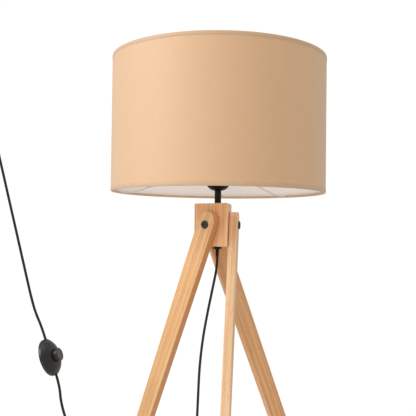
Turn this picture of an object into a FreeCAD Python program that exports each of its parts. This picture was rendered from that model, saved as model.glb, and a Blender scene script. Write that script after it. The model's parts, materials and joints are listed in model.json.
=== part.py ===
"""Tripod floor lamp: wooden pinwheel tripod, drum shade, lead with a foot switch.

Frame: millimetres, +Z up, origin on the floor under the lamp's axis.
The viewer's side is -Y and +X is to the right. The floor is z = 0.
"""
import FreeCAD, Part
import math
import os

from FreeCAD import Vector

# ---------------------------------------------------------------- driving dimensions
SHADE_DIAMETER = 400.0
SHADE_HEIGHT = 250.0
SHADE_BOTTOM_Z = 1200.0
SHADE_TOP_Z = SHADE_BOTTOM_Z + SHADE_HEIGHT
PANEL_THICKNESS = 0.7        # cloth layer of the shade wall
LINER_THICKNESS = 0.6        # white film bonded inside the cloth
HEM_THICKNESS = 0.4
HEM_OUTSIDE = 7.0            # height of the turned-over band outside
HEM_INSIDE = 4.4             # the same inside the rim
WIRE_RADIUS = 1.8            # wire rings in the hems
ARM_RADIUS = 1.6             # spider arms
ARM_AZIMUTHS = (46.5, 166.5, 286.5)

HUB_TOP_Z = 1180.0
HUB_HEIGHT = 80.0
HUB_APOTHEM = 22.4           # axis to each of the three faces
HUB_CORNER_RADIUS = 0.9
HUB_CHAMFER = 0.6
HUB_BOTTOM_Z = HUB_TOP_Z - HUB_HEIGHT
PIVOT_Z = HUB_TOP_Z - HUB_HEIGHT / 2

LEG_NAMES = ("left", "front", "right")
LEG_AZIMUTHS = (-125.0, -5.0, 115.0)     # outward normals of the hub's faces
SPLAY = 21.3                 # degrees from vertical, in the plane of the hub's face
LEG_WIDTH = 36.5
LEG_THICKNESS = 16.0
LEG_ABOVE_PIVOT = 25.0
TAPER_START = 80.0           # below the pivot, along the leg
FOOT_WIDTH = 18.0
LEG_EDGE_RADIUS = 1.5
PAD_THICKNESS = 3.0
PAD_MARGIN = 1.0

BODY_GAP = 0.3               # between pieces that move past each other
WASHER_THICKNESS = 0.6
WASHER_RADIUS = 12.0
LEG_INNER_X = HUB_APOTHEM + BODY_GAP + WASHER_THICKNESS
LEG_OUTER_X = LEG_INNER_X + LEG_THICKNESS
BOLT_RADIUS = 3.0
PIVOT_CLEARANCE = 0.05
BOLT_HEAD_RADIUS = 7.5
BOLT_HEAD_HEIGHT = 3.2
BOLT_HEAD_ROUND = 2.2
HEX_KEY_FLATS = 4.0
HEX_SOCKET_DEPTH = 2.0
INSERT_RADIUS = 4.5
INSERT_LENGTH = 13.0

STEM_RADIUS = 5.0            # M10 threaded lamp tube
STEM_BORE_RADIUS = 3.9
STEM_BELOW_HUB = 4.5
STEM_INTO_DOME = 11.0
NUT_FLATS = 14.0
STEM_WASHER_THICKNESS = 1.0
BUSH_FLANGE_RADIUS = 4.9
BUSH_PLUG_RADIUS = 3.7       # the part of the bush inside the tube
BUSH_TAIL_RADIUS = 3.2       # the tail at its thick end, below the flange
BUSH_PLUG_LENGTH = 10.0
SLEEVE_RADIUS = 6.2          # black spacer sleeve round the tube
DOME_BOTTOM_Z = 1204.5
DOME_RADIUS = 21.5
SHOULDER_Z = 1237.0          # the shade's ring rests here
SKIRT_RADIUS = 19.6
SKIRT_TOP_Z = 1262.0
SKIRT_BORE_RADIUS = 17.4
BLOCK_BOTTOM_Z = 1217.0      # insulating block inside the lampholder
BLOCK_TOP_Z = 1229.0
BLOCK_HOLE_DEPTH = 7.0       # for the end of the lead
TERMINAL_X = 9.0
TERMINAL_Y = -12.0
SHELL_BORE_RADIUS = 13.4
FITTER_RADIUS = 29.0
FITTER_THICKNESS = 2.0

CORD_RADIUS = 2.4
FLOOR_CLEARANCE = 0.2
CORD_ON_FLOOR_Z = CORD_RADIUS + FLOOR_CLEARANCE
BUSH_END_Z = 1082.0

SWITCH_RADIUS = 34.0
SWITCH_WALL_HEIGHT = 6.0
SWITCH_DOME_HEIGHT = 15.5
SWITCH_SHELL = 2.0
SWITCH_CORD_HEIGHT = 5.0     # cord's axis above the switch's underside
SWITCH_LEAD_IN = 22.0        # straight stretch of the lead outside each exit
SWITCH_BASE_THICKNESS = 2.2
SWITCH_BLOCK_TOP = 7.2
CONTACT_THICKNESS = 0.6
BUTTON_RADIUS = 12.0
BUTTON_TOP = 24.5
BUTTON_TRAVEL = 2.5
BUTTON_SPARE = 0.7           # left above the contacts when the button is down
FLANGE_THICKNESS = 1.2
SPRING_WIRE_RADIUS = 0.5
SPRING_RADIUS = 5.6
SPRING_TURNS = 7
BLOCK_HALF = 13.0            # half the contact block's length, where the lead ends
CLAMP_X = 22.0
SWITCH_CENTRE = Vector(-305.1, -40.0, 893.5)
SWITCH_NORMAL = Vector(0.924, -0.181, 0.337)
SWITCH_ALONG = Vector(-0.348, 0.078, 0.934)


# ---------------------------------------------------------------- helpers
def save(name, shape):
    """Write one node and say how big it is."""
    shape.exportStep("parts/" + name + ".step")
    print("%-24s solids %2d  volume %10.1f mm3  valid %s"
          % (name, len(shape.Solids), shape.Volume, shape.isValid()))


def cylinder(radius, bottom, top):
    """Upright cylinder on the Z axis."""
    return Part.makeCylinder(radius, top - bottom, Vector(0, 0, bottom))


def ring(outer, inner, bottom, top):
    """Upright tube on the Z axis."""
    return cylinder(outer, bottom, top).cut(cylinder(inner, bottom - 1, top + 1))


def rod_x(radius, start, end):
    """Cylinder along the X axis."""
    return Part.makeCylinder(radius, end - start, Vector(start, 0, 0), Vector(1, 0, 0))


def revolved(edges):
    """Solid of revolution about Z of a closed outline in the XZ plane."""
    face = Part.Face(Part.Wire(edges))
    return face.revolve(Vector(0, 0, 0), Vector(0, 0, 1), 360)


def outline(points):
    """Straight edges through (radius, height) points, not closed."""
    corners = [Vector(r, 0, z) for r, z in points]
    return [Part.LineSegment(a, b).toShape() for a, b in zip(corners, corners[1:])]


def lathe(points):
    """Solid of revolution of a polygon given as (radius, height) points."""
    return revolved(outline(list(points) + [points[0]]))


def turned(shape, azimuth):
    """Copy turned about the lamp's axis, so that +X points along the azimuth."""
    copy = shape.copy()
    copy.rotate(Vector(0, 0, 0), Vector(0, 0, 1), azimuth)
    return copy


def hexagon_prism(flats, height):
    """Hexagonal prism on the XY plane, by its distance across flats."""
    corner = flats / math.sqrt(3)
    points = [Vector(corner * math.cos(math.radians(60 * k)),
                     corner * math.sin(math.radians(60 * k)), 0) for k in range(7)]
    return Part.Face(Part.makePolygon(points)).extrude(Vector(0, 0, height))


# ---------------------------------------------------------------- hub and its fittings
def make_hub():
    """Triangular wooden block with a centre bore and one insert hole in each face."""
    corner = 2 * HUB_APOTHEM
    angles = [a + 60 for a in LEG_AZIMUTHS]
    points = [Vector(corner * math.cos(math.radians(a)),
                     corner * math.sin(math.radians(a)), HUB_BOTTOM_Z) for a in angles]
    block = Part.Face(Part.makePolygon(points + [points[0]])).extrude(Vector(0, 0, HUB_HEIGHT))
    upright = [e for e in block.Edges if abs(e.Vertexes[0].Z - e.Vertexes[1].Z) > 1]
    block = block.makeFillet(HUB_CORNER_RADIUS, upright)
    rims = [e for e in block.Edges if e.BoundBox.ZLength < 0.001]
    block = block.makeChamfer(HUB_CHAMFER, rims)
    block = block.cut(cylinder(STEM_RADIUS + 0.2, HUB_BOTTOM_Z - 1, HUB_TOP_Z + 1))
    for azimuth in LEG_AZIMUTHS:
        hole = rod_x(INSERT_RADIUS, HUB_APOTHEM - INSERT_LENGTH, HUB_APOTHEM + 1)
        hole.translate(Vector(0, 0, PIVOT_Z))
        block = block.cut(turned(hole, azimuth))
    return block


def make_insert():
    """Brass threaded insert, along +X, flush with the hub's face."""
    body = rod_x(INSERT_RADIUS, HUB_APOTHEM - INSERT_LENGTH, HUB_APOTHEM)
    return body.cut(rod_x(BOLT_RADIUS, 0, HUB_APOTHEM + 1))


def make_bolt():
    """Black button-head bolt along +X, with a hexagonal socket."""
    head_start = LEG_OUTER_X + BODY_GAP
    head_end = head_start + BOLT_HEAD_HEIGHT
    head = rod_x(BOLT_HEAD_RADIUS, head_start, head_end)
    rim = [e for e in head.Edges
           if e.BoundBox.XLength < 0.001 and e.BoundBox.XMin > head_end - 0.01]
    head = head.makeFillet(BOLT_HEAD_ROUND, rim)
    socket = hexagon_prism(HEX_KEY_FLATS, HEX_SOCKET_DEPTH + 1)
    socket.rotate(Vector(0, 0, 0), Vector(0, 1, 0), 90)
    socket.translate(Vector(head_end - HEX_SOCKET_DEPTH, 0, 0))
    shank = rod_x(BOLT_RADIUS, HUB_APOTHEM - INSERT_LENGTH + 1.0, head_start)
    return head.fuse(shank).removeSplitter().cut(socket)


# ---------------------------------------------------------------- legs
def half_width(distance):
    """Half the leg's width at a distance below the pivot, along the leg."""
    foot = (PIVOT_Z - PAD_THICKNESS) / math.cos(math.radians(SPLAY))
    share = max(0.0, distance - TAPER_START) / (foot - TAPER_START)
    return (LEG_WIDTH - (LEG_WIDTH - FOOT_WIDTH) * share) / 2


def leg_blank(margin):
    """Leg hanging straight down from the pivot at z = 0, longer than needed."""
    end = PIVOT_Z / math.cos(math.radians(SPLAY)) + 20.0
    x = LEG_INNER_X + margin
    top = half_width(0) - margin
    arc_z = LEG_ABOVE_PIVOT - half_width(0)
    low = half_width(end) - margin
    right = [Vector(x, top, arc_z), Vector(x, top, -TAPER_START), Vector(x, low, -end)]
    left = [Vector(x, -p.y, p.z) for p in reversed(right)]
    corners = right + left
    sides = [Part.LineSegment(a, b).toShape() for a, b in zip(corners, corners[1:])]
    crown = Part.Arc(left[-1], Vector(x, 0, arc_z + top), right[0]).toShape()
    face = Part.Face(Part.Wire(sides + [crown]))
    return face.extrude(Vector(LEG_THICKNESS - 2 * margin, 0, 0)), end


def stand_up(shape, azimuth):
    """Splay a hanging piece, lift it to the pivot and turn it to its hub face."""
    copy = shape.copy()
    copy.rotate(Vector(0, 0, 0), Vector(1, 0, 0), -SPLAY)
    copy.translate(Vector(0, 0, PIVOT_Z))
    return turned(copy, azimuth)


def make_leg(azimuth):
    """Tapering leg with a round top, a pivot hole and a foot cut level."""
    blank, end = leg_blank(0)
    long_edges = [e for e in blank.Edges
                  if e.BoundBox.XLength < 0.001 and e.BoundBox.ZMax > -end + 1]
    blank = blank.makeFillet(LEG_EDGE_RADIUS, long_edges)
    blank = blank.cut(rod_x(BOLT_RADIUS + PIVOT_CLEARANCE, 0, LEG_OUTER_X + 5))
    below = Part.makeBox(2000, 2000, 200, Vector(-1000, -1000, PAD_THICKNESS - 200))
    return stand_up(blank, azimuth).cut(below)


def make_foot_pad(azimuth):
    """Rubber pad under the level cut of the foot."""
    blank, end = leg_blank(PAD_MARGIN)
    slab = Part.makeBox(2000, 2000, PAD_THICKNESS, Vector(-1000, -1000, 0))
    return stand_up(blank, azimuth).common(slab)


def make_pivot_washer(azimuth):
    """Nylon washer between the leg and the hub, turning with the leg."""
    washer = rod_x(WASHER_RADIUS, LEG_INNER_X - WASHER_THICKNESS, LEG_INNER_X)
    washer = washer.cut(rod_x(BOLT_RADIUS + PIVOT_CLEARANCE, 0, LEG_INNER_X + 1))
    return stand_up(washer, azimuth)


# ---------------------------------------------------------------- stem and lampholder
TUBE_END_Z = HUB_BOTTOM_Z - STEM_BELOW_HUB


def make_stem_tube():
    """Threaded tube from under the hub into the lampholder."""
    return ring(STEM_RADIUS, STEM_BORE_RADIUS, TUBE_END_Z, DOME_BOTTOM_Z + STEM_INTO_DOME)


def make_stem_nut():
    """Hexagon nut under the hub."""
    nut = hexagon_prism(NUT_FLATS, STEM_BELOW_HUB - STEM_WASHER_THICKNESS)
    nut.translate(Vector(0, 0, TUBE_END_Z))
    return nut.cut(cylinder(STEM_RADIUS, TUBE_END_Z - 1, HUB_BOTTOM_Z))


def make_cord_bush():
    """Plastic cord bush: plug in the tube, flange under it, tapered tail on the cord."""
    flange_z = TUBE_END_Z - 1.5
    top = TUBE_END_Z + BUSH_PLUG_LENGTH
    return lathe([(0, BUSH_END_Z), (CORD_RADIUS + 0.3, BUSH_END_Z), (BUSH_TAIL_RADIUS, flange_z),
                  (BUSH_FLANGE_RADIUS, flange_z), (BUSH_FLANGE_RADIUS, TUBE_END_Z),
                  (BUSH_PLUG_RADIUS, TUBE_END_Z), (BUSH_PLUG_RADIUS, top), (0, top)])


def make_lampholder_dome():
    """Thin-walled dome that closes the lampholder from below."""
    wall = 1.8
    low, high = DOME_BOTTOM_Z, SHOULDER_Z - 10.0
    outer = Part.Arc(Vector(8.0, 0, low), Vector(17.6, 0, low + 4.9),
                     Vector(DOME_RADIUS, 0, low + 10.5)).toShape()
    inner = Part.Arc(Vector(DOME_RADIUS - wall, 0, low + 11.0), Vector(16.6, 0, low + 6.9),
                     Vector(8.0, 0, low + 2.4)).toShape()
    right = outline([(DOME_RADIUS, low + 10.5), (DOME_RADIUS, high), (DOME_RADIUS - wall, high),
                     (DOME_RADIUS - wall, low + 11.0)])
    collar = outline([(8.0, low + 2.4), (7.5, low + 2.4), (7.5, low + 9.0), (STEM_RADIUS, low + 9.0),
                      (STEM_RADIUS, low), (8.0, low)])
    return revolved([outer] + right + [inner] + collar)


def make_lampholder_skirt():
    """Upper barrel with the shoulder for the shade and an outside thread."""
    bore, low, high = SKIRT_BORE_RADIUS, SHOULDER_Z - 10.0, SKIRT_TOP_Z
    pitch, depth = 2.5, 0.6
    points = [(bore, low), (DOME_RADIUS, low), (DOME_RADIUS, SHOULDER_Z),
              (SKIRT_RADIUS - depth, SHOULDER_Z)]
    turns = int((high - SHOULDER_Z - 2.0) / pitch)
    for k in range(turns):
        z = SHOULDER_Z + 1.0 + pitch * k
        points += [(SKIRT_RADIUS - depth, z), (SKIRT_RADIUS, z + pitch / 2)]
    points += [(SKIRT_RADIUS - depth, SHOULDER_Z + 1.0 + pitch * turns),
               (SKIRT_RADIUS - depth, high), (bore, high)]
    return lathe(points)


def make_clamp_ring():
    """Threaded ring that holds the shade down on the shoulder, with finger notches."""
    low = SHOULDER_Z + FITTER_THICKNESS
    body = ring(27.0, SKIRT_RADIUS + 0.1, low, low + 9.0)
    notch = cylinder(2.0, low + 3.0, low + 10.0)
    notch.translate(Vector(27.6, 0, 0))
    for k in range(16):
        body = body.cut(turned(notch, 22.5 * k))
    return body


def make_contact_block():
    """Insulating block that carries the contacts and terminals."""
    block = cylinder(SKIRT_BORE_RADIUS, BLOCK_BOTTOM_Z, BLOCK_TOP_Z)
    block = block.cut(cylinder(3.0, BLOCK_BOTTOM_Z - 1, BLOCK_BOTTOM_Z + BLOCK_HOLE_DEPTH))
    for side in (-1, 1):
        place = Vector(side * TERMINAL_X, TERMINAL_Y, BLOCK_BOTTOM_Z - 1)
        block = block.cut(Part.makeCylinder(2.2, 8.0, place))
    return block


def make_terminal_screws():
    """Two brass terminal screws in the underside of the contact block."""
    screws = []
    for side in (-1, 1):
        foot = BLOCK_BOTTOM_Z - 0.5
        shank = Part.makeCylinder(2.1, 7.5, Vector(side * TERMINAL_X, TERMINAL_Y, foot))
        slot = Part.makeBox(6.0, 0.6, 1.0,
                            Vector(side * TERMINAL_X - 3.0, TERMINAL_Y - 0.3, foot - 0.5))
        screws.append(shank.cut(slot))
    return Part.makeCompound(screws)


def make_screw_shell():
    """Threaded metal shell of the socket."""
    return ring(SHELL_BORE_RADIUS + 0.5, SHELL_BORE_RADIUS, BLOCK_TOP_Z, SKIRT_TOP_Z - 6.0)


def make_centre_contact():
    """Springy tongue under the bulb's tip."""
    thickness, width = 0.5, 4.0
    underside = BULB_BASE_Z - thickness
    tongue = Part.makeBox(12.0, width, thickness, Vector(-2.0, -width / 2, underside))
    post = Part.makeBox(2.0, width, underside - BLOCK_TOP_Z, Vector(8.0, -width / 2, BLOCK_TOP_Z))
    return tongue.fuse(post).removeSplitter()


# ---------------------------------------------------------------- bulb
BULB_BASE_Z = 1231.0
BULB_CENTRE_Z = 1312.0
BULB_RADIUS = 30.0


def make_bulb_cap():
    """Screw cap with a rolled thread."""
    low = BULB_BASE_Z + 4.0
    points = [(0, low), (9.0, low), (12.4, low + 3.0)]
    for k in range(5):
        z = low + 3.0 + 3.6 * k
        points += [(12.4, z + 0.6), (13.3, z + 1.8), (12.4, z + 3.0)]
    points += [(12.4, low + 22.0), (0, low + 22.0)]
    return lathe(points)


def make_bulb_tip():
    """Insulator and contact button at the bottom of the cap."""
    return lathe([(0, BULB_BASE_Z), (3.2, BULB_BASE_Z), (4.8, BULB_BASE_Z + 1.2),
                  (8.6, BULB_BASE_Z + 4.0), (0, BULB_BASE_Z + 4.0)])


def make_bulb_collar():
    """White plastic body between cap and globe."""
    low, high = BULB_BASE_Z + 26.0, BULB_CENTRE_Z - 14.0
    wide = math.sqrt(BULB_RADIUS ** 2 - 14.0 ** 2)
    flare = Part.Arc(Vector(13.2, 0, low), Vector(19.0, 0, low + 21.0), Vector(wide, 0, high)).toShape()
    rest = outline([(wide, high), (0, high), (0, low), (13.2, low)])
    return revolved([flare] + rest)


def make_bulb_globe():
    """Frosted dome of the bulb."""
    globe = Part.makeSphere(BULB_RADIUS, Vector(0, 0, BULB_CENTRE_Z))
    return globe.common(Part.makeBox(80, 80, 60, Vector(-40, -40, BULB_CENTRE_Z - 14.0)))


# ---------------------------------------------------------------- shade
SHADE_RADIUS = SHADE_DIAMETER / 2
PANEL_OUTER = SHADE_RADIUS - HEM_THICKNESS
PANEL_INNER = PANEL_OUTER - PANEL_THICKNESS
LINER_INNER = PANEL_INNER - LINER_THICKNESS
WIRE_CENTRE = LINER_INNER - WIRE_RADIUS
HEM_INNER = WIRE_CENTRE - WIRE_RADIUS - HEM_THICKNESS


def make_hem(edge_z, inward):
    """Cloth turned over one rim: outside band, edge and short inside return."""
    step = HEM_THICKNESS * inward
    points = [(SHADE_RADIUS, edge_z), (SHADE_RADIUS, edge_z + HEM_OUTSIDE * inward),
              (PANEL_OUTER, edge_z + HEM_OUTSIDE * inward), (PANEL_OUTER, edge_z + step),
              (HEM_INNER + HEM_THICKNESS, edge_z + step),
              (HEM_INNER + HEM_THICKNESS, edge_z + HEM_INSIDE * inward),
              (HEM_INNER, edge_z + HEM_INSIDE * inward), (HEM_INNER, edge_z)]
    return lathe(points)


def make_wire_ring(edge_z, inward):
    """Steel wire ring inside a hem."""
    height = edge_z + (HEM_THICKNESS + WIRE_RADIUS) * inward
    return Part.makeTorus(WIRE_CENTRE, WIRE_RADIUS, Vector(0, 0, height))


def make_fitter_ring():
    """Flat ring that sits on the lampholder's shoulder."""
    return ring(FITTER_RADIUS, SKIRT_RADIUS + 0.1, SHOULDER_Z, SHOULDER_Z + FITTER_THICKNESS)


def make_spider_arm(azimuth):
    """Steel arm from the fitter ring to the wire in the bottom rim, fitted to both."""
    ring_z = SHOULDER_Z + FITTER_THICKNESS / 2
    rim_z = SHADE_BOTTOM_Z + HEM_THICKNESS + WIRE_RADIUS
    path = [Vector(FITTER_RADIUS - 3.0, 0, ring_z), Vector(44.0, 0, ring_z),
            Vector(172.0, 0, rim_z), Vector(WIRE_CENTRE, 0, rim_z)]
    tube = cord_tube(path, ARM_RADIUS)[0]
    tube = tube.cut(cylinder(FITTER_RADIUS, ring_z - 5.0, ring_z + 5.0))
    tube = tube.cut(make_wire_ring(SHADE_BOTTOM_Z, 1))
    return turned(tube, azimuth)


def notched(hem):
    """Bottom hem with an opening in its inside return for each arm."""
    width = 2 * ARM_RADIUS + 1.8
    opening = Part.makeBox(HEM_THICKNESS + 1.2, width, HEM_INSIDE + 1.0,
                           Vector(HEM_INNER - 1.0, -width / 2, SHADE_BOTTOM_Z + HEM_THICKNESS))
    for azimuth in ARM_AZIMUTHS:
        hem = hem.cut(turned(opening, azimuth))
    return hem


# ---------------------------------------------------------------- free lead
def cord_tube(points, radius):
    """Round bar along straight runs joined by tangent arcs.

    Returns the solid, the smallest bend radius and the length of the centre line.
    """
    edges, radii, length = [], [], 0.0
    start = points[0]
    for before, corner, after in zip(points, points[1:], points[2:]):
        into = (corner - before).normalize()
        out = (after - corner).normalize()
        turn = into.getAngle(out)
        shorter = min(before.distanceToPoint(corner), corner.distanceToPoint(after))
        cut_back = 0.45 * shorter
        bend = cut_back / math.tan(turn / 2)
        radii.append(bend)
        arc_in = corner - into * cut_back
        arc_out = corner + out * cut_back
        to_centre = (out - into).normalize()
        middle = corner + to_centre * (bend / math.cos(turn / 2) - bend)
        edges.append(Part.LineSegment(start, arc_in).toShape())
        edges.append(Part.Arc(arc_in, middle, arc_out).toShape())
        length += start.distanceToPoint(arc_in) + bend * turn
        start = arc_out
    edges.append(Part.LineSegment(start, points[-1]).toShape())
    length += start.distanceToPoint(points[-1])
    path = Part.Wire(edges)
    direction = (points[1] - points[0]).normalize()
    profile = Part.Wire([Part.makeCircle(radius, points[0], direction)])
    solid = path.makePipeShell([profile], True, False)
    return solid, min(radii), length


def report_cord(name, solid, shortest, length):
    """Print the bend radii and compare the volume with section times length."""
    expected = math.pi * CORD_RADIUS ** 2 * length
    print("%s: length %.1f mm, tightest bend %.1f mm, volume / (section x length) %.4f"
          % (name, length, shortest, solid.Volume / expected))


def switch_point(along, across, height):
    """Point of the foot switch's own frame, in the lamp's frame."""
    return SWITCH_CENTRE + X_SWITCH * along + Y_SWITCH * across + Z_SWITCH * height


Z_SWITCH = Vector(SWITCH_NORMAL).normalize()
Y_SWITCH = Z_SWITCH.cross(SWITCH_ALONG).normalize()
X_SWITCH = Y_SWITCH.cross(Z_SWITCH)

LAMP_SIDE_ROUTE = [
    (0, 0, BUSH_END_Z), (0, 0, 1062), (-7, 1, 1026), (-16, 2, 981), (-25, 2, 930),
    (-31, 3, 874), (-33, 4, 816), (-35, 4, 757), (-35, 5, 697), (-32, 4, 637),
    (-28, 3, 576), (-23, 3, 514), (-19, 4, 452), (-16, 6, 390), (-12, 8, 328),
    (-7, 9, 267), (-1, 11, 207), (4, 13, 150), (7, 14, 100), (7, 13, 62),
    (7.5, 5, 33), (7.5, -13, 11.5), (7, -40, CORD_ON_FLOOR_Z), (2, -70, CORD_ON_FLOOR_Z),
    (-14, -96, CORD_ON_FLOOR_Z), (-40, -113, CORD_ON_FLOOR_Z), (-70, -118, 6),
    (-96, -117, 22), (-112, -114, 49), (-120, -110, 84), (-124, -106, 130),
    (-129, -102, 186), (-136, -97, 246), (-145, -92, 307), (-155, -86, 368),
    (-167, -81, 429), (-180, -76, 489), (-195, -71, 548), (-211, -66, 607),
    (-229, -60, 665), (-249, -53, 721), (-265.5, -48, 774), (-279.5, -45.5, 814),
]
PLUG_SIDE_ROUTE = [(-331.5, -36.5, 975), (-340, -38, 1005), (-409, -52, 1300)]


def make_leads():
    """The two visible lengths of the lead, one each side of the foot switch."""
    exits = [switch_point(side * reach, 0, SWITCH_CORD_HEIGHT)
             for side in (-1, 1) for reach in (SWITCH_RADIUS, SWITCH_RADIUS + SWITCH_LEAD_IN)]
    lamp_side = [Vector(*p) for p in LAMP_SIDE_ROUTE] + [exits[1], exits[0]]
    plug_side = [exits[2], exits[3]] + [Vector(*p) for p in PLUG_SIDE_ROUTE]
    for name, route in (("lead_lamp_side", lamp_side), ("lead_plug_side", plug_side)):
        solid, shortest, length = cord_tube(route, CORD_RADIUS)
        report_cord(name, solid, shortest, length)
        save(name, solid)


# ---------------------------------------------------------------- foot switch
def in_switch(shape):
    """Move a shape from the switch's own frame to the lamp's frame."""
    copy = shape.copy()
    rotation = FreeCAD.Rotation(X_SWITCH, Y_SWITCH, Z_SWITCH, "ZXY")
    copy.Placement = FreeCAD.Placement(SWITCH_CENTRE, rotation).multiply(copy.Placement)
    return copy


def cord_channel():
    """Space for the lead through the switch's wall."""
    return Part.makeCylinder(CORD_RADIUS + 0.2, 100, Vector(-50, 0, SWITCH_CORD_HEIGHT),
                             Vector(1, 0, 0))


def make_switch_base():
    """Flat bottom plate with three raised screw posts."""
    plate = cylinder(SWITCH_RADIUS - SWITCH_SHELL - 0.1, 0, SWITCH_BASE_THICKNESS)
    post = cylinder(3.0, 2.0, 7.0).cut(cylinder(1.2, 1.0, 8.0))
    for azimuth in (90, 210, 330):
        moved = post.copy()
        moved.translate(Vector(24.0, 0, 0))
        plate = plate.fuse(turned(moved, azimuth))
    return plate.removeSplitter()


def make_switch_cover():
    """Domed shell with a hole for the button and two cord notches."""
    wall, top = SWITCH_WALL_HEIGHT, SWITCH_DOME_HEIGHT
    r, t, hole = SWITCH_RADIUS, SWITCH_SHELL, BUTTON_RADIUS + BODY_GAP
    outer = Part.Arc(Vector(r - 1.2, 0, wall), Vector(25.0, 0, wall + 6.3),
                     Vector(hole + 2.0, 0, top)).toShape()
    inner = Part.Arc(Vector(hole + 2.0, 0, top - t - 1.0), Vector(24.4, 0, wall + 4.2),
                     Vector(r - t - 1.2, 0, wall - 1.0)).toShape()
    rim = outline([(r - t, 0), (r, 0), (r, wall - 1.2), (r - 1.2, wall)])
    lip = outline([(hole + 2.0, top), (hole, top), (hole, top - t - 1.0),
                   (hole + 2.0, top - t - 1.0)])
    bottom = outline([(r - t - 1.2, wall - 1.0), (r - t, wall - 2.2), (r - t, 0)])
    shell = revolved(rim + [outer] + lip + [inner] + bottom)
    return shell.cut(cord_channel())


def make_switch_button():
    """Round push button, held under the cover by its flange."""
    bottom = SWITCH_BLOCK_TOP + CONTACT_THICKNESS + BUTTON_SPARE + BUTTON_TRAVEL
    flange_top = SWITCH_DOME_HEIGHT - SWITCH_SHELL - 1.0 - BODY_GAP
    stem = cylinder(BUTTON_RADIUS, bottom, BUTTON_TOP)
    rim = [e for e in stem.Edges if e.BoundBox.ZMin > BUTTON_TOP - 0.01]
    stem = stem.makeFillet(1.4, rim)
    dish = Part.makeSphere(90.0, Vector(0, 0, BUTTON_TOP + 89.4))
    stem = stem.cut(dish)
    flange = cylinder(BUTTON_RADIUS + 1.6, flange_top - FLANGE_THICKNESS, flange_top)
    hollow = cylinder(BUTTON_RADIUS - 2.0, bottom - 1.0, BUTTON_TOP - 3.0)
    pusher = cylinder(2.5, SWITCH_BLOCK_TOP + BUTTON_TRAVEL + BODY_GAP, BUTTON_TOP - 2.0)
    return stem.fuse(flange).cut(hollow).fuse(pusher).removeSplitter()


def make_switch_spring():
    """Return spring between the contact block and the button, as separate level rings."""
    low = SWITCH_BLOCK_TOP + SPRING_WIRE_RADIUS
    high = BUTTON_TOP - 3.0 - BODY_GAP - SPRING_WIRE_RADIUS
    step = (high - low) / (SPRING_TURNS - 1)
    return Part.makeCompound([Part.makeTorus(SPRING_RADIUS, SPRING_WIRE_RADIUS,
                                             Vector(0, 0, low + step * k))
                              for k in range(SPRING_TURNS)])


def make_switch_block():
    """Insulating contact block on the base, between the two ends of the lead."""
    return Part.makeBox(2 * BLOCK_HALF, 20.0, SWITCH_BLOCK_TOP - SWITCH_BASE_THICKNESS,
                        Vector(-BLOCK_HALF, -10.0, SWITCH_BASE_THICKNESS))


def make_switch_contacts():
    """Two brass contact strips lying on the block."""
    strips = []
    for side in (-1, 1):
        corner = Vector(-9.0, side * 8.0 - 1.4, SWITCH_BLOCK_TOP)
        strips.append(Part.makeBox(18.0, 2.8, CONTACT_THICKNESS, corner))
    return Part.makeCompound(strips)


def make_cord_clamps():
    """Two saddles that grip the lead just inside the wall."""
    saddles = []
    for side in (-1, 1):
        saddle = Part.makeBox(5.0, 12.0, 7.2,
                              Vector(side * CLAMP_X - 2.5, -6.0, SWITCH_BASE_THICKNESS))
        hole = Part.makeCylinder(CORD_RADIUS, 20,
                                 Vector(side * CLAMP_X - 10, 0, SWITCH_CORD_HEIGHT), Vector(1, 0, 0))
        saddles.append(saddle.cut(hole))
    return Part.makeCompound(saddles)


def make_cord_tails():
    """Ends of the lead inside the switch, from each wall to the contact block."""
    tails = []
    for side in (-1, 1):
        start = BLOCK_HALF if side > 0 else -SWITCH_RADIUS
        tails.append(Part.makeCylinder(CORD_RADIUS, SWITCH_RADIUS - BLOCK_HALF,
                                       Vector(start, 0, SWITCH_CORD_HEIGHT), Vector(1, 0, 0)))
    return Part.makeCompound(tails)


# ---------------------------------------------------------------- plug
RELIEF_LENGTH = 26.0
PLUG_LENGTH = 36.0
PLUG_WIDTH = 26.0
PLUG_DEPTH = 13.5
PIN_SPACING = 19.0
PIN_LENGTH = 19.0
PIN_RADIUS = 2.0
PIN_INSIDE = 12.0            # length of each pin held in the body


def in_plug(shape):
    """Move a shape from the plug's own frame, +Z towards the pins, to the end of the lead."""
    end = Vector(*PLUG_SIDE_ROUTE[-1])
    along = (end - Vector(*PLUG_SIDE_ROUTE[-2])).normalize()
    rotation = FreeCAD.Rotation(Vector(0, 1, 0).cross(along), Vector(0, 1, 0), along, "ZXY")
    copy = shape.copy()
    copy.Placement = FreeCAD.Placement(end, rotation).multiply(copy.Placement)
    return copy


def make_plug_relief():
    """Tapered sleeve between the lead and the plug."""
    return lathe([(0, 0), (CORD_RADIUS + 0.6, 0), (5.0, RELIEF_LENGTH), (0, RELIEF_LENGTH)])


def make_plug_body():
    """Flat two-pin plug body with rounded edges."""
    body = Part.makeBox(PLUG_WIDTH, PLUG_DEPTH, PLUG_LENGTH,
                        Vector(-PLUG_WIDTH / 2, -PLUG_DEPTH / 2, RELIEF_LENGTH))
    upright = [e for e in body.Edges if e.BoundBox.ZLength > PLUG_LENGTH - 1]
    body = body.makeFillet(5.0, upright)
    back = [e for e in body.Edges if e.BoundBox.ZMax < RELIEF_LENGTH + 0.01]
    body = body.makeFillet(4.0, back)
    for side in (-1, 1):
        face_z = RELIEF_LENGTH + PLUG_LENGTH
        hole = cylinder(PIN_RADIUS, face_z - PIN_INSIDE, face_z + 1)
        hole.translate(Vector(side * PIN_SPACING / 2, 0, 0))
        body = body.cut(hole)
    return body


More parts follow.
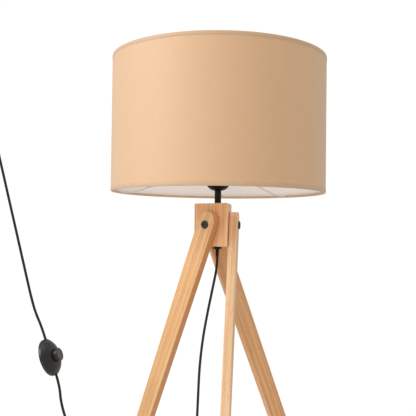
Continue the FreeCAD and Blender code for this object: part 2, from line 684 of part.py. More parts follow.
def make_plug_pins():
    """Two round contact pins."""
    pins = []
    base = RELIEF_LENGTH + PLUG_LENGTH
    for side in (-1, 1):
        pin = cylinder(PIN_RADIUS, base - PIN_INSIDE, base + PIN_LENGTH)
        tip = [e for e in pin.Edges if e.BoundBox.ZMin > base + PIN_LENGTH - 0.01]
        pin = pin.makeFillet(1.5, tip)
        pin.translate(Vector(side * PIN_SPACING / 2, 0, 0))
        pins.append(pin)
    return Part.makeCompound(pins)


# ---------------------------------------------------------------- write every node
os.makedirs("parts", exist_ok=True)

save("hub", make_hub())
insert = make_insert()
bolt = make_bolt()
for piece in (insert, bolt):
    piece.translate(Vector(0, 0, PIVOT_Z))
save("hub_inserts", Part.makeCompound([turned(insert, a) for a in LEG_AZIMUTHS]))
save("leg_bolts", Part.makeCompound([turned(bolt, a) for a in LEG_AZIMUTHS]))
for leg, face_azimuth in zip(LEG_NAMES, LEG_AZIMUTHS):
    save("leg_" + leg, make_leg(face_azimuth))
    save("foot_pad_" + leg, make_foot_pad(face_azimuth))
    save("pivot_washer_" + leg, make_pivot_washer(face_azimuth))

save("stem_tube", make_stem_tube())
save("spacer_sleeve", ring(SLEEVE_RADIUS, STEM_RADIUS + 0.1, HUB_TOP_Z, DOME_BOTTOM_Z))
save("stem_washer", ring(8.8, STEM_RADIUS + 0.1, HUB_BOTTOM_Z - STEM_WASHER_THICKNESS, HUB_BOTTOM_Z))
save("stem_nut", make_stem_nut())
save("cord_bush", make_cord_bush())
save("lead_in_stem",
     cylinder(CORD_RADIUS, TUBE_END_Z + BUSH_PLUG_LENGTH, BLOCK_BOTTOM_Z + BLOCK_HOLE_DEPTH))

save("lampholder_dome", make_lampholder_dome())
save("lampholder_skirt", make_lampholder_skirt())
save("shade_clamp_ring", make_clamp_ring())
save("contact_block", make_contact_block())
save("terminal_screws", make_terminal_screws())
save("screw_shell", make_screw_shell())
save("centre_contact", make_centre_contact())

save("bulb_cap", make_bulb_cap())
save("bulb_tip", make_bulb_tip())
save("bulb_collar", make_bulb_collar())
save("bulb_globe", make_bulb_globe())

wall_low = SHADE_BOTTOM_Z + HEM_THICKNESS
wall_high = SHADE_TOP_Z - HEM_THICKNESS
save("shade_panel", ring(PANEL_OUTER, PANEL_INNER, wall_low, wall_high))
save("shade_liner", ring(PANEL_INNER, LINER_INNER, wall_low, wall_high))
save("shade_hem_bottom", notched(make_hem(SHADE_BOTTOM_Z, 1)))
save("shade_hem_top", make_hem(SHADE_TOP_Z, -1))
save("shade_ring_bottom", make_wire_ring(SHADE_BOTTOM_Z, 1))
save("shade_ring_top", make_wire_ring(SHADE_TOP_Z, -1))
save("fitter_ring", make_fitter_ring())
save("spider_arms", Part.makeCompound([make_spider_arm(a) for a in ARM_AZIMUTHS]))

make_leads()

save("switch_base", in_switch(make_switch_base()))
save("switch_cover", in_switch(make_switch_cover()))
save("switch_button", in_switch(make_switch_button()))
save("switch_spring", in_switch(make_switch_spring()))
save("switch_block", in_switch(make_switch_block()))
save("switch_contacts", in_switch(make_switch_contacts()))
save("switch_cord_clamps", in_switch(make_cord_clamps()))
save("switch_cord_tails", in_switch(make_cord_tails()))

save("plug_relief", in_plug(make_plug_relief()))
save("plug_body", in_plug(make_plug_body()))
save("plug_pins", in_plug(make_plug_pins()))
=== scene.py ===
"""Looks of the tripod floor lamp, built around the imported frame. Metres, +Z up, viewer at -Y."""
import bpy
import json
import math
from mathutils import Matrix, Vector


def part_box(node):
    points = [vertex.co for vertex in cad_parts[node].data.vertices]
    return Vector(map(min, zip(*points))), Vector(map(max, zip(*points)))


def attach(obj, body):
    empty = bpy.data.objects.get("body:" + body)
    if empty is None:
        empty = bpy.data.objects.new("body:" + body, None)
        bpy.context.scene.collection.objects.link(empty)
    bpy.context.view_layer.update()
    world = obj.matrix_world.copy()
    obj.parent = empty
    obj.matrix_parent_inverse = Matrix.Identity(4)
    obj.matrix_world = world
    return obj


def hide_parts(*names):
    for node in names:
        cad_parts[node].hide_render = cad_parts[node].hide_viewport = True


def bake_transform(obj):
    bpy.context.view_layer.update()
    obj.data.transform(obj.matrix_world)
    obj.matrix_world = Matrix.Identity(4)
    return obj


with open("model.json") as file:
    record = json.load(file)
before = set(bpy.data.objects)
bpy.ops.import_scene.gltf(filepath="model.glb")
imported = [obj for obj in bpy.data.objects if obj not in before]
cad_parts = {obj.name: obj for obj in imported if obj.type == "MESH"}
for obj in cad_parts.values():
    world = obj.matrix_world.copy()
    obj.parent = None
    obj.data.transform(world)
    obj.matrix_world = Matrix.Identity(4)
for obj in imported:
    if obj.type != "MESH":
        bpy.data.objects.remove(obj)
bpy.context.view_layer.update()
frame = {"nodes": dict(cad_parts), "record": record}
NODES = frame["nodes"]


# ---------------------------------------------------------------- camera
FOCAL_MM = 60.88
LENS_SHIFT_Y = 0.022
CAMERA_AT = (0.0312, -1.3188, 1.1212)
CAMERA_YAW = -2.143          # degrees, like the tilt and the roll
CAMERA_TILT_UP = 1.445
CAMERA_ROLL = 0.687


def make_camera():
    """Camera at the reference viewing angle: level with the hub, looking slightly up."""
    yaw, tilt, roll = (math.radians(a) for a in (CAMERA_YAW, CAMERA_TILT_UP, CAMERA_ROLL))
    forward = Vector((math.sin(yaw) * math.cos(tilt), math.cos(yaw) * math.cos(tilt),
                      math.sin(tilt)))
    level = Vector((math.cos(yaw), -math.sin(yaw), 0.0))
    up = level.cross(forward)
    right = level * math.cos(roll) + up * math.sin(roll)
    top = up * math.cos(roll) - level * math.sin(roll)
    turn = Matrix((right, top, -forward)).transposed()
    data = bpy.data.cameras.new("camera")
    data.lens = FOCAL_MM
    data.shift_y = LENS_SHIFT_Y
    camera = bpy.data.objects.new("camera", data)
    camera.matrix_world = Matrix.Translation(CAMERA_AT) @ turn.to_4x4()
    bpy.context.scene.collection.objects.link(camera)
    bpy.context.scene.camera = camera


make_camera()


# ---------------------------------------------------------------- mesh tools
def mesh_object(name, vertices, faces):
    """Object with a mesh of its own, in the scene."""
    mesh = bpy.data.meshes.new(name)
    mesh.from_pydata(vertices, [], faces)
    mesh.validate()
    piece = bpy.data.objects.new(name, mesh)
    bpy.context.scene.collection.objects.link(piece)
    return piece


def quads_between(rings, count, closed):
    """Quads from each ring of count points to the next, and round to the first if closed."""
    faces = []
    for k in range(rings if closed else rings - 1):
        here, there = k * count, (k + 1) % rings * count
        for i in range(count):
            j = (i + 1) % count
            faces.append((here + i, there + i, there + j, here + j))
    return faces


# ---------------------------------------------------------------- lead and foot switch
CORD_DIAMETER = 0.0048
HUB_EXIT = (0.0, 0.0, 1.082)
LAMP_SIDE_ROUTE = [
    HUB_EXIT, (0, 0, 1.062), (-.007, .001, 1.026), (-.016, .002, .981), (-.025, .002, .930),
    (-.031, .003, .874), (-.033, .004, .816), (-.035, .004, .757), (-.035, .005, .697),
    (-.032, .004, .637), (-.028, .003, .576), (-.023, .003, .514), (-.019, .004, .452),
    (-.016, .006, .390), (-.012, .008, .328), (-.007, .009, .267), (-.001, .011, .207),
    (.004, .013, .150), (.007, .014, .100), (.007, .013, .062), (.0075, .005, .033),
    (.0075, -.013, .0115), (.007, -.040, .0026), (.002, -.070, .0026), (-.014, -.096, .0026),
    (-.040, -.113, .0026), (-.070, -.118, .006), (-.096, -.117, .022), (-.112, -.114, .049),
    (-.120, -.110, .084), (-.124, -.106, .130), (-.129, -.102, .186), (-.136, -.097, .246),
    (-.145, -.092, .307), (-.155, -.086, .368), (-.167, -.081, .429), (-.180, -.076, .489),
    (-.195, -.071, .548), (-.211, -.066, .607), (-.229, -.060, .665), (-.249, -.053, .721),
    (-.2655, -.048, .774), (-.2795, -.0455, .814), (-.2821, -.0451, .8425), (-.2893, -.0434, .8632),
]
PLUG_SIDE_ROUTE = [
    (-.3117, -.0384, .9272), (-.3189, -.0367, .9479), (-.3315, -.0365, .975), (-.340, -.038, 1.005),
    (-.3471, -.0394, 1.0354), (-.409, -.052, 1.300),
]


def make_lead(name, route):
    """Round lead along one smooth NURBS spline with the route's points as control points."""
    curve = bpy.data.curves.new(name, "CURVE")
    curve.dimensions = "3D"
    curve.bevel_depth = 1.0      # times each point's radius; the radius also pads the curve's box
    curve.bevel_resolution = 5
    curve.use_fill_caps = True
    spline = curve.splines.new("NURBS")
    spline.points.add(len(route) - 1)
    for point, place in zip(spline.points, route):
        point.co = (*place, 1.0)
        point.radius = CORD_DIAMETER / 2
    spline.order_u = 3
    spline.use_endpoint_u = True
    spline.resolution_u = 10
    lead = bpy.data.objects.new(name, curve)
    bpy.context.scene.collection.objects.link(lead)
    return lead


# The return spring: a wound coil that shortens with the button. Heights are above the
# middle of the switch's back, along the way the button moves.
SWITCH_CENTRE = Vector((-0.3051, -0.0400, 0.8935))
BUTTON_AXIS = Vector((0.924, -0.181, 0.337)).normalized()
SPRING_RADIUS = 0.0056       # middle of the wire
SPRING_WIRE_RADIUS = 0.0005
SPRING_LOW = 0.0077
SPRING_HIGH = 0.0207
OPEN_TURNS = 5
SPRING_TURNS = OPEN_TURNS + 2    # the first and the last lie against their neighbours
CLOSED_RISE = 0.00105        # of each closed turn
STEPS_PER_TURN = 28
WIRE_SIDES = 10


def spring_height(turn):
    """Height of the wire after so many turns."""
    opened = min(max(turn - 1.0, 0.0), OPEN_TURNS)
    closed = turn - opened
    open_rise = (SPRING_HIGH - SPRING_LOW - 2 * CLOSED_RISE) / OPEN_TURNS
    return SPRING_LOW + closed * CLOSED_RISE + opened * open_rise


def make_spring(name):
    """Round wire wound round the button's axis, with flat ends."""
    across = BUTTON_AXIS.orthogonal().normalized()
    along = BUTTON_AXIS.cross(across)
    vertices = []
    rings = SPRING_TURNS * STEPS_PER_TURN + 1
    for k in range(rings):
        turn = k / STEPS_PER_TURN
        angle = 2.0 * math.pi * turn
        outward = across * math.cos(angle) + along * math.sin(angle)
        middle = SWITCH_CENTRE + BUTTON_AXIS * spring_height(turn) + outward * SPRING_RADIUS
        for i in range(WIRE_SIDES):
            side = 2.0 * math.pi * i / WIRE_SIDES
            offset = outward * math.cos(side) + BUTTON_AXIS * math.sin(side)
            vertices.append(middle + offset * SPRING_WIRE_RADIUS)
    ends = [tuple(range(WIRE_SIDES)),
            tuple(range(rings * WIRE_SIDES - 1, (rings - 1) * WIRE_SIDES - 1, -1))]
    spring = mesh_object(name, vertices, quads_between(rings, WIRE_SIDES, False) + ends)
    for polygon in spring.data.polygons:
        polygon.use_smooth = len(polygon.vertices) == 4
    return spring


spring_coil = make_spring("switch_spring_coil")
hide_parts("switch_spring")
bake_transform(spring_coil)

lead_to_switch = make_lead("lead_to_switch", LAMP_SIDE_ROUTE)
lead_to_plug = make_lead("lead_to_plug", PLUG_SIDE_ROUTE)
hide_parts("lead_lamp_side")
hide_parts("lead_plug_side")
for lead in (lead_to_switch, lead_to_plug):
    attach(lead, "stand")


# ---------------------------------------------------------------- material tools
WHITE = (1.0, 1.0, 1.0)
MIX_A, MIX_B, MIX_RESULT = 6, 7, 2       # the Mix node's colour sockets


def new_material(name, color, roughness, metallic=0.0):
    """Principled material; returns its material, node tree and shader."""
    material = bpy.data.materials.new(name)
    material.use_nodes = True
    tree = material.node_tree
    shader = tree.nodes["Principled BSDF"]
    shader.inputs["Base Color"].default_value = (*color, 1.0)
    shader.inputs["Roughness"].default_value = roughness
    shader.inputs["Metallic"].default_value = metallic
    return material, tree, shader


def add(tree, kind, inputs=None, **settings):
    """New node. Each input is a plain value or another node's output socket."""
    node = tree.nodes.new("ShaderNode" + kind)
    for key, value in settings.items():
        setattr(node, key, value)
    for key, value in (inputs or {}).items():
        if isinstance(value, bpy.types.NodeSocket):
            tree.links.new(value, node.inputs[key])
        else:
            node.inputs[key].default_value = value
    return node


def math_node(tree, operation, *values):
    """Result socket of one arithmetic step."""
    return add(tree, "Math", dict(enumerate(values)), operation=operation).outputs[0]


def weighted(tree, *terms):
    """Sum of (socket, weight) terms, from the last to the first."""
    product = math_node(tree, "MULTIPLY", *terms[0])
    if len(terms) == 1:
        return product
    return math_node(tree, "ADD", product, weighted(tree, *terms[1:]))


def looking_along(tree, normal, direction):
    """How far a normal looks along a direction, -1 to 1."""
    return add(tree, "VectorMath", {0: normal, 1: direction},
               operation="DOT_PRODUCT").outputs["Value"]


def ramp(tree, factor, stops):
    """Colour ramp from (position, colour) stops."""
    node = add(tree, "ValToRGB", {"Fac": factor})
    band = node.color_ramp
    while len(band.elements) < len(stops):
        band.elements.new(0.5)
    for element, (position, color) in zip(band.elements, stops):
        element.position = position
        element.color = (*color, 1.0)
    return node.outputs["Color"]


def multiplied(tree, share, color, shade):
    """A colour multiplied by a shade, as far as the share says."""
    return add(tree, "Mix", {"Factor": share, MIX_A: color, MIX_B: shade},
               data_type="RGBA", blend_type="MULTIPLY").outputs[MIX_RESULT]


def noise(tree, vector, cells, detail, rough=0.5, distortion=0.0):
    """Noise with so many cells per metre along each axis."""
    place = add(tree, "Mapping", {"Vector": vector, "Scale": cells})
    return add(tree, "TexNoise", {"Vector": place.outputs[0], "Scale": 1.0, "Detail": detail,
                                  "Roughness": rough, "Distortion": distortion}).outputs[0]


def grade(tree, factor, low, high):
    """Map 0..1 to low..high."""
    return add(tree, "MapRange", {"Value": factor, "To Min": low, "To Max": high}).outputs[0]


def roughen(tree, shader, factor, low, high):
    """Vary the shader's roughness from low to high."""
    tree.links.new(grade(tree, factor, low, high), shader.inputs["Roughness"])


def bump_to(tree, shader, height, distance, strength):
    """Bump the shader's normal by a height socket; distance is in metres."""
    node = add(tree, "Bump", {"Height": height, "Distance": distance, "Strength": strength})
    tree.links.new(node.outputs[0], shader.inputs["Normal"])


def rgb(red, green, blue):
    """Linear colour from 0..255 display values, by the sRGB curve."""
    def linear(value):
        share = value / 255
        return share / 12.92 if share <= 0.04045 else ((share + 0.055) / 1.055) ** 2.4
    return tuple(linear(v) for v in (red, green, blue))


# ---------------------------------------------------------------- materials
WARM_BOARD = [(0.36, rgb(208, 148, 92)), (0.46, rgb(223, 169, 113)),
              (0.54, rgb(232, 182, 127)), (0.64, rgb(240, 197, 147))]
PALE_BOARD = [(0.36, rgb(218, 166, 118)), (0.46, rgb(232, 186, 140)),
              (0.54, rgb(239, 198, 154)), (0.64, rgb(244, 208, 166))]
ROSY_BOARD = [(0.36, rgb(206, 143, 91)), (0.46, rgb(222, 166, 113)),
              (0.54, rgb(231, 179, 127)), (0.64, rgb(239, 194, 146))]
HUB_BOARD = [(0.36, rgb(213, 148, 94)), (0.46, rgb(229, 170, 117)),
             (0.54, rgb(239, 185, 133)), (0.64, rgb(246, 201, 155))]

# Noise cells per metre: in wood across the grain twice and along it.
WANDER_CELLS = (9.0, 9.0, 1.2)
RING_CELLS = (230.0, 230.0, 2.2)
FIBRE_CELLS = (900.0, 900.0, 14.0)
PORE_CELLS = (1500.0, 1500.0, 95.0)
PORE_FLECKS = [(0.30, (0.62, 0.52, 0.44)), (0.38, WHITE)]
SEED_SHIFT = (0.37, 0.21, 1.3)           # metres in the wood from one seed to the next
SHADE_FADE_FROM = 0.96                        # painted shade near the hub: height above which a board is darker, and below which it is paler
PAINTED_SIDE_SHADE = 0.28                       # painted shade on a leg's narrow sides: how far down its board's tones they are


def wood_material(name, grain, seed, board, shade_fade=0.0, broad=None):
    """Lacquered pale wood with its grain along the given direction, in one board's colours.

    shade_fade is painted shade near the hub: how fast the tone pales downwards from the hub, per
    metre. broad is the normal of the board's broad faces; when given, its narrow sides get painted
    shade.
    """
    material, tree, shader = new_material(name, board[1][1], 0.36)
    turn = Vector((0, 0, 1)).rotation_difference(Vector(grain)).inverted().to_euler()
    coords = add(tree, "TexCoord").outputs["Object"]
    along = add(tree, "Mapping", {"Vector": coords, "Rotation": turn}).outputs[0]
    shift = tuple(seed * step for step in SEED_SHIFT)
    place = add(tree, "Mapping", {"Vector": along, "Location": shift}).outputs[0]
    wander = noise(tree, place, WANDER_CELLS, detail=2.0)
    rings = noise(tree, place, RING_CELLS, detail=2.0, distortion=0.7)
    fibre = noise(tree, place, FIBRE_CELLS, detail=4.0, rough=0.6)
    pore = noise(tree, place, PORE_CELLS, detail=2.0)
    figure = weighted(tree, (rings, 0.48), (wander, 0.20), (fibre, 0.32))
    # painted shade near the hub: the tone darkens above the set height and pales below it
    if shade_fade:
        height = add(tree, "SeparateXYZ", {0: coords}).outputs["Z"]
        raised = math_node(tree, "ADD", figure, SHADE_FADE_FROM * shade_fade)
        figure = math_node(tree, "MULTIPLY_ADD", height, -shade_fade, raised)
    # painted shade: faces turned away from the broad normal, the narrow sides, go down the board's
    # tones
    if broad:
        normal = add(tree, "TexCoord").outputs["Normal"]
        flatness = math_node(tree, "ABSOLUTE", looking_along(tree, normal, broad))
        side_shaded = math_node(tree, "ADD", figure, -PAINTED_SIDE_SHADE)
        figure = math_node(tree, "MULTIPLY_ADD", flatness, PAINTED_SIDE_SHADE, side_shaded)
    color = ramp(tree, figure, board)
    flecked = multiplied(tree, 0.7, color, ramp(tree, pore, PORE_FLECKS))
    tree.links.new(flecked, shader.inputs["Base Color"])
    roughen(tree, shader, fibre, low=0.28, high=0.44)
    relief = weighted(tree, (fibre, 0.6), (pore, 0.4))
    bump_to(tree, shader, relief, distance=0.00012, strength=0.5)
    return material


SHADE_RADIUS = 0.200
THREAD_PERIOD = 0.0006
WAVE_RATE = 20                           # radians per metre of the Wave node at scale 1
THREAD_SCALE = 2 * math.pi / (WAVE_RATE * THREAD_PERIOD)
WARP_CELLS = (1700.0, 40.0, 1.0)         # round the shade and up it
WEFT_CELLS = (40.0, 1700.0, 1.0)
SLUB_CELLS = (30.0, 420.0, 1.0)
THREAD_GAPS = [(0.0, (0.86, 0.84, 0.82)), (0.35, WHITE)]
SHEEN_TINT = (0.75, 0.93, 1.0, 1.0)
SCUFF_CELLS = 700.0                      # on the foot button
DRAWN_CELLS = (300.0, 300.0, 4200.0)     # lines drawn round a metal part
UNEVEN_CELLS = 45.0
MOTTLE_CELLS = 400.0                     # in the bulb's glass


def cloth_coords(tree):
    """Metres round the drum from the front, and up it. They part at the back."""
    coords = add(tree, "SeparateXYZ", {0: add(tree, "TexCoord").outputs["Object"]})
    back = math_node(tree, "MULTIPLY", coords.outputs["Y"], -1.0)
    angle = math_node(tree, "ARCTAN2", coords.outputs["X"], back)
    round_it = math_node(tree, "MULTIPLY", angle, SHADE_RADIUS)
    return add(tree, "CombineXYZ", {"X": round_it, "Y": coords.outputs["Z"]}).outputs[0]


def thread_bands(tree, flat, axis):
    """Height of the threads that lie side by side along an axis, 0..1."""
    return add(tree, "TexWave", {"Vector": flat, "Scale": THREAD_SCALE, "Distortion": 0.6,
                                 "Detail": 1.0},
               wave_type="BANDS", bands_direction=axis).outputs["Fac"]


def cloth_material(name, base, dark, light):
    """Plain weave of two thread directions, with slubs, glued to a film."""
    material, tree, shader = new_material(name, base, 0.58)
    shader.inputs["Sheen Weight"].default_value = 0.22
    shader.inputs["Sheen Roughness"].default_value = 0.5
    shader.inputs["Sheen Tint"].default_value = SHEEN_TINT
    shader.inputs["Specular IOR Level"].default_value = 0.9
    flat = cloth_coords(tree)
    warp = noise(tree, flat, WARP_CELLS, detail=2.0)
    weft = noise(tree, flat, WEFT_CELLS, detail=2.0)
    slubs = noise(tree, flat, SLUB_CELLS, detail=1.0)
    tone = weighted(tree, (math_node(tree, "ADD", warp, weft), 0.36), (slubs, 0.16))
    color = ramp(tree, tone, [(0.34, dark), (0.50, base), (0.66, light)])
    weave = math_node(tree, "MULTIPLY", thread_bands(tree, flat, "X"),
                      thread_bands(tree, flat, "Y"))
    woven = multiplied(tree, 0.6, color, ramp(tree, weave, THREAD_GAPS))
    tree.links.new(woven, shader.inputs["Base Color"])
    relief = math_node(tree, "ADD", weave, tone)
    bump_to(tree, shader, relief, distance=0.00015, strength=0.45)
    return material


def plastic_material(name, color, roughness, grain=2600.0, coarse=60.0, relief=0.00004,
                     gloss=0.5, marked=0.2):
    """Moulded plastic or rubber with a fine spark texture and faint handling marks.

    grain and coarse are the texture's and the marks' cells per metre, relief is the texture's
    depth in metres, and marked is how much paler the marks are.
    """
    material, tree, shader = new_material(name, color, roughness)
    shader.inputs["Specular IOR Level"].default_value = gloss
    coords = add(tree, "TexCoord").outputs["Object"]
    fine = noise(tree, coords, (grain,) * 3, detail=2.0)
    marks = noise(tree, coords, (coarse,) * 3, detail=4.0, rough=0.6)
    paler = tuple(min(1.0, c * (1.0 + marked) + 0.001) for c in color)
    tree.links.new(ramp(tree, marks, [(0.35, color), (0.70, paler)]), shader.inputs["Base Color"])
    roughen(tree, shader, marks, low=roughness * 0.85, high=roughness * 1.2)
    bump_to(tree, shader, fine, distance=relief, strength=0.4)
    return material


def button_material(name, top, side):
    """Foot button: its top is painted paler than its side as painted light, with faint scuffs."""
    material, tree, shader = new_material(name, top, 0.42)
    coords = add(tree, "TexCoord")
    upward = looking_along(tree, coords.outputs["Normal"], BUTTON_AXIS)
    scuffs = noise(tree, coords.outputs["Object"], (SCUFF_CELLS,) * 3, detail=3.0, rough=0.6)
    # painted light: faces looking along the button's axis get the paler top colour; the scuffs are
    # wear
    top_light_and_scuffs = math_node(tree, "ADD", upward, math_node(tree, "MULTIPLY", scuffs, 0.12))
    tree.links.new(ramp(tree, top_light_and_scuffs, [(0.62, side), (0.98, top)]), shader.inputs["Base Color"])
    roughen(tree, shader, scuffs, low=0.36, high=0.5)
    bump_to(tree, shader, scuffs, distance=0.00003, strength=0.4)
    return material


def metal_material(name, color, roughness, metallic=1.0, gloss=0.5):
    """Turned or plated metal with fine drawn lines and slight unevenness."""
    material, tree, shader = new_material(name, color, roughness, metallic)
    shader.inputs["Specular IOR Level"].default_value = gloss
    coords = add(tree, "TexCoord").outputs["Object"]
    lines = noise(tree, coords, DRAWN_CELLS, detail=2.0)
    uneven = noise(tree, coords, (UNEVEN_CELLS,) * 3, detail=3.0)
    darker = tuple(c * 0.82 for c in color)
    tree.links.new(ramp(tree, uneven, [(0.35, darker), (0.65, color)]), shader.inputs["Base Color"])
    roughen(tree, shader, lines, low=roughness * 0.75, high=roughness * 1.3)
    bump_to(tree, shader, lines, distance=0.00002, strength=0.3)
    return material


def glass_material(name):
    """Frosted opal bulb."""
    material, tree, shader = new_material(name, rgb(244, 242, 236), 0.35)
    shader.inputs["Subsurface Weight"].default_value = 0.3
    shader.inputs["Subsurface Scale"].default_value = 0.004
    shader.inputs["Coat Weight"].default_value = 0.3
    mottle = noise(tree, add(tree, "TexCoord").outputs["Object"], (MOTTLE_CELLS,) * 3, detail=2.0)
    roughen(tree, shader, mottle, low=0.30, high=0.42)
    return material


CLOTH = cloth_material("shade_cloth", rgb(228, 184, 139), rgb(224, 178, 132), rgb(232, 190, 146))
HEM_CLOTH = cloth_material("shade_hem_cloth", rgb(214, 177, 138), rgb(207, 168, 129),
                           rgb(221, 185, 147))
FILM = plastic_material("shade_film", rgb(252, 244, 238), 0.45, grain=900.0, coarse=25.0,
                        relief=0.00003, marked=0.03)
BOLT_STEEL = metal_material("bolt_steel", (0.021, 0.019, 0.017), 0.42, metallic=0.1)
BY_SLOT = {
    "foot_rubber": plastic_material("foot_rubber", (0.02, 0.02, 0.02), 0.8),
    "nylon": plastic_material("nylon", rgb(228, 225, 216), 0.45),
    "black_steel": metal_material("black_steel", (0.007, 0.0066, 0.0062), 0.38, metallic=0.1,
                                  gloss=0.2),
    "brass": metal_material("brass", rgb(205, 170, 102), 0.32),
    "zinc_steel": metal_material("zinc_steel", rgb(176, 176, 176), 0.35),
    "white_enamel": plastic_material("white_enamel", rgb(206, 200, 192), 0.3),
    "black_plastic": plastic_material("black_plastic", (0.003, 0.0028, 0.0026), 0.34, gloss=0.15),
    "insulator": plastic_material("insulator", rgb(218, 213, 200), 0.6),
    "bulb_white": plastic_material("bulb_white", rgb(236, 236, 232), 0.35),
    "bulb_glass": glass_material("bulb_glass"),
    "lead_sheath": plastic_material("lead_sheath", (0.010, 0.0094, 0.009), 0.46, grain=1500.0,
                                    coarse=12.0, relief=0.00002, gloss=0.35),
    "switch_plastic": plastic_material("switch_plastic", (0.0085, 0.0085, 0.009), 0.34,
                                       grain=1800.0, coarse=12.0, relief=0.00001),
    # the first colour is the top's, paler as painted light; the second is the side's
    "button_plastic": button_material("button_plastic", (0.070, 0.067, 0.065),
                                      (0.010, 0.010, 0.010)),
    "plug_plastic": plastic_material("plug_plastic", (0.018, 0.018, 0.018), 0.5),
}

HUB_SEED = 5
LEG_SPLAY = math.radians(21.3)
LEGS = (                     # name, azimuth, seed, board, painted shade fading down from the hub, whether its narrow sides get painted shade
    ("left", -125.0, 2, WARM_BOARD, 0.0, True),
    ("front", -5.0, 3, PALE_BOARD, 0.4, False),
    ("right", 115.0, 4, ROSY_BOARD, 0.0, False),
)


def leg_direction(azimuth):
    """Unit vector down a leg, in the plane of its hub face."""
    side = math.radians(azimuth - 90.0)
    flat = math.sin(LEG_SPLAY)
    return (math.cos(side) * flat, math.sin(side) * flat, -math.cos(LEG_SPLAY))


def leg_face(azimuth):
    """Unit normal of a leg's broad faces."""
    return (math.cos(math.radians(azimuth)), math.sin(math.radians(azimuth)), 0.0)


def paint(piece, material):
    """Give a piece one material only."""
    piece.data.materials.clear()
    piece.data.materials.append(material)


for part in frame["record"]["subparts"]:
    if part["material_slot"] in BY_SLOT:
        paint(NODES[part["node"]], BY_SLOT[part["material_slot"]])
paint(NODES["leg_bolts"], BOLT_STEEL)
paint(NODES["hub"], wood_material("wood_hub", (0, 0, 1), HUB_SEED, HUB_BOARD))
for leg_name, leg_azimuth, leg_seed, leg_board, leg_shade_fade, shaded_sides in LEGS:
    leg_wood = wood_material("wood_leg_" + leg_name, leg_direction(leg_azimuth), leg_seed,
                             leg_board, leg_shade_fade, leg_face(leg_azimuth) if shaded_sides else None)
    paint(NODES["leg_" + leg_name], leg_wood)
for lead in (lead_to_switch, lead_to_plug):
    paint(lead, BY_SLOT["lead_sheath"])
paint(spring_coil, BY_SLOT["zinc_steel"])


# ---------------------------------------------------------------- shade
SHADE_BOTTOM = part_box("shade_hem_bottom")[0].z
SHADE_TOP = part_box("shade_hem_top")[1].z
PANEL_OUTER, PANEL_INNER, LINER_INNER = 0.1996, 0.1989, 0.1983
HEM_INNER, HEM_CLOTH_THICKNESS = 0.1943, 0.0004
HEM_OUTSIDE, HEM_INSIDE = 0.0070, 0.0044     # heights of the outside band and the inside return
HEM_NOTCH = 0.0016                           # height of the return where an arm passes
HEM_EDGE_IN, HEM_EDGE_DOWN = 0.00015, 0.00025        # soft edge of the outside band
HEM_ROUND = ((0.0, 0.0012), (0.0003, 0.0004), (0.0011, 0.0))     # inward and up, at the rim
HEM_FOLD = 0.0003
RIPPLES = ((0.00012, 37), (0.00008, 91))     # of the hem: height, and waves round the shade
ARM_AZIMUTHS = (46.5, 166.5, 286.5)
NOTCH_HALF_WIDTH = 0.0025
WALL_LOW, WALL_HIGH = SHADE_BOTTOM + HEM_CLOTH_THICKNESS, SHADE_TOP - HEM_CLOTH_THICKNESS
WALL_ROWS = 24
SEGMENTS = 720
SHARP_DEGREES = 40
SEAM_AZIMUTH = 90.0          # the cloth overlaps itself at the back
SEAM_WIDTH = 0.010
SEAM_STEP = 0.00035
SEAM_RAMP = 0.004            # where the cloth rises to the step


def loft(name, profile_at, material):
    """Closed ring: profile_at(azimuth in degrees) gives its (radius, height) outline there.

    The outline goes up on the outside and down on the inside, so its faces point outward.
    """
    vertices = []
    for k in range(SEGMENTS):
        azimuth = 360.0 * k / SEGMENTS
        c, s = math.cos(math.radians(azimuth)), math.sin(math.radians(azimuth))
        vertices += [(r * c, r * s, z) for r, z in profile_at(azimuth)]
    count = len(vertices) // SEGMENTS
    piece = mesh_object(name, vertices, quads_between(SEGMENTS, count, True))
    for polygon in piece.data.polygons:
        polygon.use_smooth = True
    piece.data.set_sharp_from_angle(angle=math.radians(SHARP_DEGREES))
    paint(piece, material)
    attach(piece, "stand")
    return piece


def degrees_from(azimuth, other):
    """Signed angle from other to azimuth, -180 to 180."""
    return (azimuth - other + 180.0) % 360.0 - 180.0


def panel_profile(azimuth):
    """Cloth wall: many rows up the outside, with the glued overlap at the back."""
    past = math.radians(degrees_from(azimuth, SEAM_AZIMUTH)) * PANEL_OUTER
    raised = SEAM_STEP if 0.0 <= past <= SEAM_WIDTH else 0.0
    if -SEAM_RAMP < past < 0.0:
        raised = SEAM_STEP * (1 + past / SEAM_RAMP)
    outer = PANEL_OUTER + raised
    outside = [(outer, WALL_LOW + (WALL_HIGH - WALL_LOW) * k / WALL_ROWS)
               for k in range(WALL_ROWS + 1)]
    return outside + [(PANEL_INNER, WALL_HIGH), (PANEL_INNER, WALL_LOW)]


# White film bonded inside the cloth.
LINER_OUTLINE = [(PANEL_INNER, WALL_LOW), (PANEL_INNER, WALL_HIGH),
                 (LINER_INNER, WALL_HIGH), (LINER_INNER, WALL_LOW)]


def hem_profile(azimuth, edge, inward, notched):
    """Cloth turned over a rim: outside band with a soft edge, round the rim, inside return."""
    ripple = sum(height * math.sin(math.radians(azimuth * waves)) for height, waves in RIPPLES)
    t, band, back = HEM_CLOTH_THICKNESS, HEM_OUTSIDE + ripple, HEM_INSIDE + ripple
    if notched and any(abs(math.radians(degrees_from(azimuth, a))) * HEM_INNER < NOTCH_HALF_WIDTH
                       for a in ARM_AZIMUTHS):
        back = HEM_NOTCH
    points = [(PANEL_OUTER, band), (SHADE_RADIUS - HEM_EDGE_IN, band),
              (SHADE_RADIUS, band - HEM_EDGE_DOWN)]
    points += [(SHADE_RADIUS - r, h) for r, h in HEM_ROUND]
    points += [(HEM_INNER + r, h) for r, h in reversed(HEM_ROUND)]
    points += [(HEM_INNER, back), (HEM_INNER + t, back), (HEM_INNER + t, t + HEM_FOLD),
               (HEM_INNER + 2 * t, t), (PANEL_OUTER, t)]
    outline = [(r, edge + h * inward) for r, h in points]
    return outline if inward < 0 else outline[::-1]


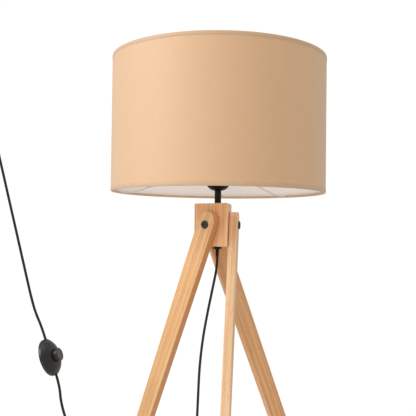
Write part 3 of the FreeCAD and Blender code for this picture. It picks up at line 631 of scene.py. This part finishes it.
panel = loft("shade_cloth_wall", panel_profile, CLOTH)
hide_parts("shade_panel")
liner = loft("shade_film_wall", lambda azimuth: LINER_OUTLINE, FILM)
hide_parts("shade_liner")
hem_bottom = loft("shade_cloth_hem_bottom", lambda a: hem_profile(a, SHADE_BOTTOM, 1, True),
                  HEM_CLOTH)
hem_top = loft("shade_cloth_hem_top", lambda a: hem_profile(a, SHADE_TOP, -1, False), HEM_CLOTH)
for hem, node in ((hem_bottom, "shade_hem_bottom"), (hem_top, "shade_hem_top")):
    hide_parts(node)


# ---------------------------------------------------------------- floor and light
FLOOR_RADIUS = 3.0
BACKDROP_COLOR = (1.0, 0.978, 0.955, 1.0)
BACKDROP_LIGHTING, BACKDROP_SEEN = 0.58, 1.05    # strengths
LIGHTS = (                   # name, place, target, size, watts, colour
    ("key", (-2.2, -1.15, 2.35), (0, 0, 1.15), 1.4, 42.0, (0.94, 1.0, 1.07)),
    ("top", (0.2, -0.2, 3.2), (0, 0, 1.2), 1.6, 17.0, WHITE),
    ("front", (-0.2, -3.0, 0.5), (0, 0, 0.7), 1.6, 10.0, WHITE),
)


def make_floor():
    """Pale round floor under the lamp."""
    bpy.ops.mesh.primitive_circle_add(vertices=96, radius=FLOOR_RADIUS, fill_type="NGON",
                                      location=(0, 0, 0))
    floor = bpy.context.object
    floor.name = "floor"
    paint(floor, new_material("floor_pale", rgb(242, 241, 239), 0.7)[0])


def area_light(name, place, target, size, power, color):
    """Soft square light aimed at a point."""
    data = bpy.data.lights.new(name, "AREA")
    data.size = size
    data.energy = power
    data.color = color
    light = bpy.data.objects.new(name, data)
    light.location = place
    light.rotation_euler = (Vector(target) - Vector(place)).to_track_quat("-Z", "Y").to_euler()
    bpy.context.scene.collection.objects.link(light)


def make_world():
    """White backdrop for the camera, softer white for lighting."""
    world = bpy.data.worlds.new("studio")
    world.use_nodes = True
    tree = world.node_tree
    background = tree.nodes["Background"]
    seen = add(tree, "LightPath").outputs["Is Camera Ray"]
    strength = grade(tree, seen, BACKDROP_LIGHTING, BACKDROP_SEEN)
    tree.links.new(strength, background.inputs["Strength"])
    background.inputs["Color"].default_value = BACKDROP_COLOR
    bpy.context.scene.world = world


make_floor()
make_world()
for light_setting in LIGHTS:
    area_light(*light_setting)
bpy.context.scene.view_settings.view_transform = "Standard"
